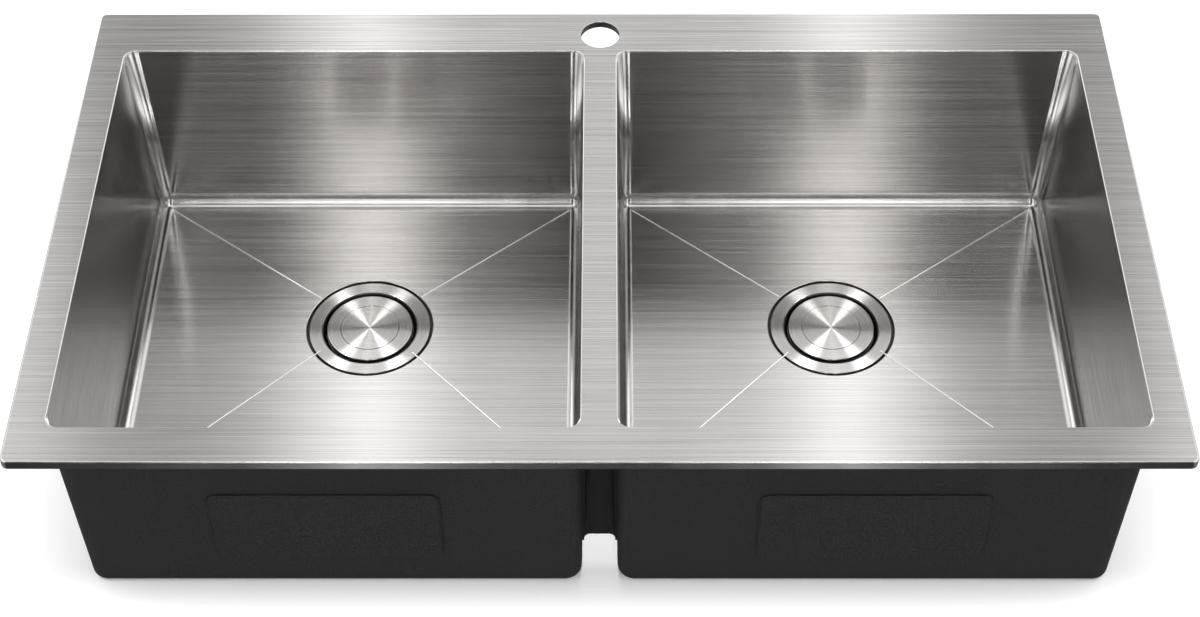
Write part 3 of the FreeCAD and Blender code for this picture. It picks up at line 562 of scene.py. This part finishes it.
def drain_seat(skin, side):
    """A rounded edge, a step down, the level seat and the edge of the drain hole."""

    def ring(radius, down):
        return circle_ring(DRAIN_X * side, DRAIN_Y, radius, FLOOR - down)

    seat = [ring(SEAT_RADIUS + inset, down) for inset, down in quarter(SEAT_EDGE, 5)]
    seat.append(ring(SEAT_RADIUS, SEAT_DEPTH))
    seat.append(ring(DRAIN_RADIUS, SEAT_DEPTH))
    seat.append(ring(DRAIN_RADIUS, SEAT_DEPTH + BOWL_SHEET))
    for upper, lower in zip(seat, seat[1:]):
        finish = BEND_STRIP if lower[0].z > FLOOR - SEAT_DEPTH / 2 else SEAT
        skin.strip(lower, upper, lambda index: (finish, X))


# %% Build the bowls
def make_bowl(name, side):
    skin = Skin()
    outline = bowl_walls(skin, side)
    grooves = crease_grooves(side)
    bowl_floor(skin, side, outline, grooves)
    crease_faces(skin, grooves)
    drain_seat(skin, side)
    made = skin.piece(f"{name}_bowl_skin", bowl_finishes, sharp_from=16)
    sheet = made.modifiers.new("sheet", "SOLIDIFY")
    sheet.thickness = BOWL_SHEET
    sheet.offset = -1
    return made


for name, side in SIDES.items():
    bowl = make_bowl(name, side)
    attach(bowl, "sink")
    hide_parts(f"{name}_bowl")

# %% [markdown]
# ## Turned pieces
#
# The strainer's flange and its cap are pressed and then turned on a lathe, which leaves circular
# scratches. Each is a half section spun round its own axis. Its origin sits on that axis, so the
# scratch pattern can be made from the distance to it.

# %% Spin a half section
TURNED_STEPS = 128
ON_THE_AXIS = 1e-8


def spin(name, profile, finishes, inside=0.0):
    """Turns (radius, height) points into a round piece; the second finish goes inside a radius."""
    skin = Skin()
    rings = [
        circle_ring(0, 0, max(radius, ON_THE_AXIS), height, TURNED_STEPS)
        for radius, height in profile
    ]
    for ring, next_ring in zip(rings, rings[1:]):
        finish = int(ring[0].x + next_ring[0].x < 2 * inside)
        skin.strip(ring, next_ring, lambda index: (finish, Z))
    return skin.piece(name, finishes, sharp_from=35)


def rounded(points, radii, steps=6):
    """A section with some of its corners rounded: radii gives one radius for each point."""
    out = []
    for n, (point, radius) in enumerate(zip(points, radii)):
        here = Vector(point)
        if not radius:
            out.append(here)
            continue
        to_last = (Vector(points[n - 1]) - here).normalized()
        to_next = (Vector(points[n + 1]) - here).normalized()
        half = to_last.angle(to_next) / 2
        start = here + to_last * radius / math.tan(half)
        end = here + to_next * radius / math.tan(half)
        centre = here + (to_last + to_next).normalized() * radius / math.sin(half)
        sweep = math.pi - 2 * half
        for step in range(steps + 1):
            done = sweep * step / steps
            spoke = (start - centre) * math.sin(sweep - done) + (end - centre) * math.sin(done)
            out.append(centre + spoke / math.sin(sweep))
    return [(p.x, p.y) for p in out]


# %% [markdown]
# ## Turned steel
#
# A lathe tool leaves rings, not lines. The noise here depends on one number only, the distance
# to the object's own Z axis, so its streaks are circles. The highlight is stretched across them
# and shows as bright rays that run out from the middle of the cap.

# %% The turned finish
LATHE_SCALE, LATHE_DETAIL = 1500.0, 3.0
LATHE_DEPTH, LATHE_STRENGTH = 0.00002, 0.3


def turned_steel(name, rough, stretch, dark, light):
    material, tree, shader = new_material(name)
    where = tree.nodes.new("ShaderNodeTexCoord")
    split = tree.nodes.new("ShaderNodeSeparateXYZ")
    tree.links.new(where.outputs["Object"], split.inputs["Vector"])
    flat = tree.nodes.new("ShaderNodeCombineXYZ")
    tree.links.new(split.outputs["X"], flat.inputs["X"])
    tree.links.new(split.outputs["Y"], flat.inputs["Y"])
    radius = tree.nodes.new("ShaderNodeVectorMath")
    radius.operation = "LENGTH"
    tree.links.new(flat.outputs["Vector"], radius.inputs[0])
    noise = tree.nodes.new("ShaderNodeTexNoise")
    noise.noise_dimensions = "1D"
    noise.inputs["Scale"].default_value = LATHE_SCALE
    noise.inputs["Detail"].default_value = LATHE_DETAIL
    tree.links.new(radius.outputs["Value"], noise.inputs["W"])
    grooves = noise.outputs["Fac"]
    tree.links.new(tint(tree, grooves, dark, light), shader.inputs["Base Color"])
    tree.links.new(remap(tree, grooves, *rough), shader.inputs["Roughness"])
    around = tree.nodes.new("ShaderNodeTangent")
    around.direction_type = "RADIAL"
    around.axis = "Z"
    set_metal(tree, shader, stretch, around)
    emboss(tree, grooves, shader, LATHE_DEPTH, LATHE_STRENGTH)
    return material


turned_grey, turned_light = (0.4, 0.39, 0.38), (0.6, 0.59, 0.58)
# The inside of the cup: steel painted nearly black, painted shade in the deep cup.
cup_shade_grey, cup_shade_pale = (0.08, 0.08, 0.08), (0.12, 0.12, 0.12)
turned = turned_steel("strainer_turned", (0.15, 0.2), 1.0, turned_grey, turned_light)
cup_inside_painted_shade = turned_steel("cup_inside_painted_shade", (0.35, 0.45), 0.3, cup_shade_grey, cup_shade_pale)
print("turned finishes:", turned.name, "and", cup_inside_painted_shade.name)

# %% [markdown]
# ## The strainers
#
# The strainer body is one pressing: a flange that lies on the seat, a cup and a ledge for the
# basket. The cap hides the basket and carries one pressed ring line. Both sections are given
# in millimetres, as radius and height above the seat. The inside of the cup is rough and painted
# nearly black, as painted shade in the deep cup.

# %% Sections of the cup and the cap
cup = [(55.5, 1.8), (55.5, 3.0), (42, 3.0), (42, -22), (26, -40), (20.9, -40), (20.9, -41.2)]
cup += [(26, -41.2), (43.2, -23.2), (43.2, 1.8), (55.5, 1.8)]
cup_radii = [0, 0.8, 2.2, 4, 1, 0, 0, 0, 0, 0, 0]
cap = [(0, 3.0), (26.0, 3.0), (26.5, 2.4), (27.0, 3.0), (39.35, 3.0), (39.35, -1.0)]
cap += [(38.15, -1.0), (38.15, 1.8), (6, 1.8), (6, -3.2), (3, -3.2), (3, -0.7), (0, -0.7)]
cap_radii = [0, 0, 0, 0, 1.1, 0.4, 0.4, 0, 0, 0.5, 0, 0, 0]
# Radius inside which the cup is painted nearly black as shade.
SHADED_INSIDE = 43.9 * MM


def section(points, radii):
    return rounded([(r * MM, z * MM) for r, z in points], [r * MM for r in radii])


print("the cap is", 2 * max(r for r, z in cap), "mm across")

# %% Build the strainers
SEAT_Z = FLOOR - SEAT_DEPTH
turned_pieces = {name: bpy.data.collections.new(f"{name} turned pieces") for name in SIDES}


def at_drain(piece, side, body, slot, *nodes):
    piece.location = (DRAIN_X * side, DRAIN_Y, SEAT_Z)
    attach(piece, body)
    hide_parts(*nodes)


for name, side in SIDES.items():
    body_section = section(cup, cup_radii)[::-1]
    body = spin(f"{name}_strainer_cup", body_section, [turned, cup_inside_painted_shade], SHADED_INSIDE)
    at_drain(body, side, "sink", "strainer_steel", f"{name}_strainer_body")
    turned_pieces[name].objects.link(body)
    lid = spin(f"{name}_strainer_cap", section(cap, cap_radii), [turned])
    at_drain(lid, side, f"{name}_plug", "strainer_steel", f"{name}_cap")
    turned_pieces[name].objects.link(lid)

# %% [markdown]
# ## The black coat
#
# The outside is sprayed with a thick, matte, sound-deadening coat. Up close it has the fine
# grain of dried spray. One noise makes the grain, and it drives colour, gloss and relief
# together, so that the tips of the grain are lighter. The rubber, plastic, zinc and painted
# pieces use the same finish with other colours and a shallower grain.

# %% Coat, rubber and plastic
GRAIN_DETAIL, GRAIN_STRENGTH = 3.0, 0.6


def grey(value, blue=None):
    return (value, value, value if blue is None else blue)


def grainy(name, dark, light, rough, scale, depth, metallic=0.0):
    material, tree, shader = new_material(name)
    grain = stretched_noise(tree, (scale, scale, scale), GRAIN_DETAIL)
    tree.links.new(tint(tree, grain, dark, light), shader.inputs["Base Color"])
    tree.links.new(remap(tree, grain, *rough), shader.inputs["Roughness"])
    shader.inputs["Metallic"].default_value = metallic
    emboss(tree, grain, shader, depth, GRAIN_STRENGTH)
    return material


coat = grainy("coat_sprayed", grey(0.002), grey(0.028, 0.029), (0.5, 0.75), 620, 0.0012)
pad = grainy("pad_rubber", grey(0.02), grey(0.03), (0.6, 0.8), 500, 0.0002)
seal = grainy("seal_rubber", grey(0.02), grey(0.035), (0.5, 0.7), 700, 0.0001)
plastic = grainy("nut_plastic", grey(0.6, 0.58), grey(0.7, 0.68), (0.35, 0.5), 400, 0.0001)
zinc_dark, zinc_light = (0.45, 0.46, 0.47), (0.6, 0.61, 0.62)
zinc = grainy("rail_zinc", zinc_dark, zinc_light, (0.3, 0.5), 300, 0.00005, 1.0)
painted = grainy("channel_painted", grey(0.004), grey(0.012), (0.5, 0.7), 400, 0.0005)
small_grey, small_light = (0.6, 0.59, 0.58), (0.7, 0.69, 0.68)
node_steel = turned_steel("small_parts_turned", (0.25, 0.4), 0.3, small_grey, small_light)

# %% Give every other node its finish
finishes = {
    "undercoat": coat, "front_pad": pad, "rear_pad": pad, "side_pad": pad, "bottom_pad": pad,
    "flange_seal": seal, "gasket": seal, "stopper": seal, "slip_washer": plastic,
    "locknut": plastic, "stem_bush": plastic, "rail": zinc, "tap_hole_ring": zinc,
    "web": painted, "basket": node_steel, "stem": node_steel, "outlet_tail": node_steel,
}
dressed = 0
for node_name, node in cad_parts.items():
    for ending, finish in finishes.items():
        if node_name.endswith(ending):
            for index in range(len(node.data.materials)):
                node.data.materials[index] = finish
            dressed += 1
            break
print("finishes given to", dressed, "nodes of", len(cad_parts))

# %% [markdown]
# ## Floor and backdrop
#
# The sink stands on a plain white floor. The floor is left out of reflections, because in them
# it turns the black coat grey and the rim's edge white. It is cut open under the two drains, so
# that an open drain looks down into the dark and not onto a white disc. The backdrop is a tall
# ring of even white far away. Only the camera sees it: it lights nothing and shows in no
# reflection.

# %% Paint and pieces for the studio
STAGE_REACH, STAGE_Z, BACKDROP_HEIGHT = 12.0, -0.193, 8.0
PIPE_RADIUS = 42.6 * MM
INSIDE_PIPE = 0.999


def studio_white(name, base, rough, glow):
    paint, _, shader = new_material(name)
    shader.inputs["Base Color"].default_value = (base, base, base, 1)
    shader.inputs["Roughness"].default_value = rough
    shader.inputs["Specular IOR Level"].default_value = 0.0
    shader.inputs["Emission Color"].default_value = (1, 1, 1, 1)
    shader.inputs["Emission Strength"].default_value = glow
    return paint


def studio_piece(name, points, faces, paint):
    data = bpy.data.meshes.new(name)
    data.from_pydata(points, [], faces)
    data.materials.append(paint)
    made = bpy.data.objects.new(name, data)
    bpy.context.collection.objects.link(made)
    print(name, "has", len(faces), "faces")
    return made


def beside_pipes(p):
    return math.hypot(abs(p.x) - DRAIN_X, p.y - DRAIN_Y) > PIPE_RADIUS * INSIDE_PIPE


# %% Floor
outlines = [circle_ring(0, 0, STAGE_REACH, STAGE_Z)]
for side in SIDES.values():
    outlines.append(circle_ring(DRAIN_X * side, DRAIN_Y, PIPE_RADIUS, STAGE_Z))
triangles = fill_flat(outlines, STAGE_Z, beside_pipes)
corners = [corner for triangle in triangles for corner in triangle]
faces = [(n, n + 1, n + 2) for n in range(0, len(corners), 3)]
stage = studio_piece("studio_floor", corners, faces, studio_white("floor_white", 0.92, 0.9, 0.15))
stage.visible_glossy = False

# %% Backdrop
low = circle_ring(0, 0, STAGE_REACH, STAGE_Z)
high = [p + Vector((0, 0, BACKDROP_HEIGHT)) for p in low]
count = len(low)
faces = [(n, (n + 1) % count, (n + 1) % count + count, n + count) for n in range(count)]
backdrop_paint = studio_white("backdrop_white", 0, 1.0, 1.0)
backdrop = studio_piece("studio_backdrop", low + high, faces, backdrop_paint)
backdrop.visible_glossy = backdrop.visible_diffuse = backdrop.visible_shadow = False

# %% [markdown]
# ## Bands of light in the room
#
# Steel is only as good as what it mirrors. Lamps alone leave it black with small bright spots,
# so the room itself shines, in soft bands. Its brightness depends on the direction one looks
# in: how far sideways, whether to the back or to the front, and how high. The back of the room
# is mostly bright, the camera's side is dark but for a few narrow windows, and one strip runs
# overhead. The steel turns these into its soft highlights and dark edges.

# %% The bands, as pairs of place and brightness
REACH_X, BRIGHTEST = 0.8, 6.0
back_bands = [(0, 0.95), (0.03, 0.85), (0.045, 1.0), (0.06, 0.9), (0.08, 1.2), (0.105, 1.75)]
back_bands += [(0.13, 1.2), (0.16, 0.65), (0.19, 0.5), (0.22, 0.55), (0.25, 1.0), (0.3, 1.2)]
back_bands += [(0.35, 0.2), (0.4, 0.2), (0.43, 2.5), (0.62, 2.5), (0.68, 0.2), (0.74, 0.2)]
back_bands += [(0.8, 0.9)]
front_bands = [(0, 0.05), (0.035, 0.05), (0.045, 1.4), (0.055, 0.05), (0.08, 0.3), (0.095, 6.0)]
front_bands += [(0.115, 6.0), (0.128, 0.2), (0.17, 0.02), (0.18, 2.2), (0.19, 0.02)]
front_bands += [(0.3, 0.02), (0.45, 0.02), (0.52, 1.4), (0.66, 1.4), (0.72, 0.05)]
front_bands += [(0.75, 0.05), (0.8, 0.9)]
overhead_bands = [(0.4, 0.0), (0.47, 5.0), (0.57, 5.0), (0.64, 0.0)]
height_bands = [(0, 0.13), (0.49, 0.13), (0.52, 1.6), (0.67, 1.3), (0.75, 0.6), (0.83, 0.8)]
height_bands += [(0.89, 1.3), (0.92, 1.2), (0.95, 0.35), (1, 0.35)]
below_bands = [(0, 0.25), (0.49, 0.25), (0.5, 0.0)]
print("bands:", len(back_bands), "behind,", len(front_bands), "in front")


# %% Helpers for the room's light
def light_bands(tree, lean, stops, reach):
    """How bright the room is for a direction that leans so far, from a list of stops."""
    ramp = tree.nodes.new("ShaderNodeValToRGB")
    ramp.color_ramp.interpolation = "EASE"
    marks = ramp.color_ramp.elements
    marks[0].position, marks[1].position = stops[0][0] / reach, stops[-1][0] / reach
    marks[0].color = (*[stops[0][1] / BRIGHTEST] * 3, 1)
    marks[1].color = (*[stops[-1][1] / BRIGHTEST] * 3, 1)
    for place, strength in stops[1:-1]:
        mark = marks.new(place / reach)
        mark.color = (*[strength / BRIGHTEST] * 3, 1)
    tree.links.new(lean, ramp.inputs["Fac"])
    return ramp.outputs["Color"]


def feed(tree, value, socket):
    """Puts a fixed number or another node's result into a socket."""
    if isinstance(value, float):
        socket.default_value = value
    else:
        tree.links.new(value, socket)


def arithmetic(tree, operation, first, second):
    node = tree.nodes.new("ShaderNodeMath")
    node.operation = operation
    for socket, value in zip(node.inputs, (first, second)):
        feed(tree, value, socket)
    return node.outputs["Value"]


def mixed(tree, first, second, amount, blend="MIX"):
    node = tree.nodes.new("ShaderNodeMix")
    node.data_type, node.blend_type = "RGBA", blend
    feed(tree, amount, node.inputs["Factor"])
    tree.links.new(first, node.inputs["A"])
    tree.links.new(second, node.inputs["B"])
    return node.outputs["Result"]


# %% Room light
WHOLE_TURN = (-1.0, 1.0)
FRONT_TO_BACK = (0.1, 0.5)
STRIP_ENDS = (0.55, 0.65)

world = bpy.data.worlds.new("studio")
bpy.context.scene.world = world
world.use_nodes = True
tree = world.node_tree
sky = tree.nodes["Background"]
where = tree.nodes.new("ShaderNodeTexCoord")
split = tree.nodes.new("ShaderNodeSeparateXYZ")
tree.links.new(where.outputs["Generated"], split.inputs["Vector"])

sideways = arithmetic(tree, "ABSOLUTE", split.outputs["X"], 0.0)
sideways = arithmetic(tree, "DIVIDE", sideways, REACH_X)
behind = light_bands(tree, sideways, back_bands, REACH_X)
before = light_bands(tree, sideways, front_bands, REACH_X)
backwards = remap(tree, split.outputs["Y"], 0.0, 1.0, WHOLE_TURN)
overhead = light_bands(tree, backwards, overhead_bands, 1.0)
level = remap(tree, split.outputs["Z"], 0.0, 1.0, WHOLE_TURN)
below = light_bands(tree, level, below_bands, 1.0)
room = mixed(tree, before, behind, remap(tree, split.outputs["Y"], 0.0, 1.0, FRONT_TO_BACK))
near_middle = remap(tree, sideways, 1.0, 0.0, STRIP_ENDS)
with_strip = mixed(tree, room, overhead, near_middle, "LIGHTEN")
tree.links.new(mixed(tree, with_strip, below, 1.0, "LIGHTEN"), sky.inputs["Color"])
by_height = light_bands(tree, level, height_bands, 1.0)
strength = arithmetic(tree, "MULTIPLY", by_height, BRIGHTEST)
tree.links.new(arithmetic(tree, "MULTIPLY", strength, BRIGHTEST), sky.inputs["Strength"])
print("room light:", len(tree.nodes), "nodes")

# %% [markdown]
# ## Lamps
#
# A few lamps do what the room can't. Two small ones for each strainer stand behind the sink and
# make the narrow bright rays on the turned steel. They light nothing else, because their glare
# would spoil the deck. Two more light only the floor: a broad one in front of the sink, and a
# faint one that brightens the floor seen through the gap between the bowls.

# %% Lamps
def softbox(name, place, aim, size, power, lights):
    """A rectangular lamp that lights only the pieces of one collection."""
    data = bpy.data.lights.new(name, "AREA")
    data.shape = "RECTANGLE"
    data.size, data.size_y = size
    data.energy = power
    lamp = bpy.data.objects.new(name, data)
    bpy.context.collection.objects.link(lamp)
    lamp.location = place
    lamp.rotation_euler = (Vector(aim) - Vector(place)).to_track_quat("-Z", "Y").to_euler()
    lamp.light_linking.receiver_collection = lights


RAY_SIZE, RAY_POWER = (0.15, 0.15), 4
RAY_SIDEWAYS, RAY_SPREAD, RAY_BACK, RAY_UP = 0.21, 0.27, 0.9, 1.74
for name, side in SIDES.items():
    drain = Vector((DRAIN_X * side, DRAIN_Y, SEAT_Z))
    for spread in (-RAY_SPREAD, RAY_SPREAD):
        place = drain + Vector((RAY_SIDEWAYS * side + spread, RAY_BACK, RAY_UP))
        lights = turned_pieces[name]
        softbox(f"on_{name}_strainer", place, drain, RAY_SIZE, RAY_POWER, lights)

floor_only = bpy.data.collections.new("floor only")
floor_only.objects.link(stage)
FRONT_SIZE, FRONT_POWER, FRONT_Y, FRONT_Z = (3.4, 0.7), 78, -0.57, 3.0
GAP_SIZE, GAP_POWER, GAP_Y, GAP_Z = (0.02, 0.12), 0.15, -0.14, -0.06
front, front_spot = (0, FRONT_Y, FRONT_Z), (0, FRONT_Y, STAGE_Z)
softbox("above_the_floor", front, front_spot, FRONT_SIZE, FRONT_POWER, floor_only)
gap, gap_spot = (0, GAP_Y, GAP_Z), (0, GAP_Y, STAGE_Z)
softbox("under_the_divider", gap, gap_spot, GAP_SIZE, GAP_POWER, floor_only)
print("lamps:", len(bpy.data.lights))

# %% [markdown]
# ## Camera
#
# The place, direction and lens were worked out from the edges of the rim and the bowls, so that
# the picture shows the sink at the photograph's angle. The camera stands in front of the sink,
# above it, and looks down at a bit more than 45 degrees. It is turned and tipped by a fraction
# of a degree.

# %% Camera
SENSOR_WIDTH, LENS = 36.0, 67.31
PITCH, YAW, ROLL = 47.92, 0.29, -0.23
CAMERA_PLACE = (6.60 * MM, -1316.63 * MM, 1351.94 * MM)

camera_data = bpy.data.cameras.new("camera")
camera_data.sensor_width = SENSOR_WIDTH
camera_data.lens = LENS
camera = bpy.data.objects.new("camera", camera_data)
bpy.context.collection.objects.link(camera)
pitch, yaw, roll = (math.radians(angle) for angle in (PITCH, YAW, ROLL))
forward = Vector((0, math.cos(pitch), -math.sin(pitch)))
right = Vector((1, 0, 0))
up = right.cross(forward)
turned_by = Matrix.Rotation(yaw, 3, "Z")
forward, right, up = (turned_by @ v for v in (forward, right, up))
right, up = (
    right * math.cos(roll) + up * math.sin(roll),
    up * math.cos(roll) - right * math.sin(roll),
)
facing = Matrix((right, up, -forward)).transposed().to_4x4()
camera.matrix_world = Matrix.Translation(CAMERA_PLACE) @ facing
bpy.context.scene.camera = camera
bpy.context.scene.view_settings.view_transform = "Standard"
print("camera stands", round(camera.location.length, 2), "m from the middle of the rim")
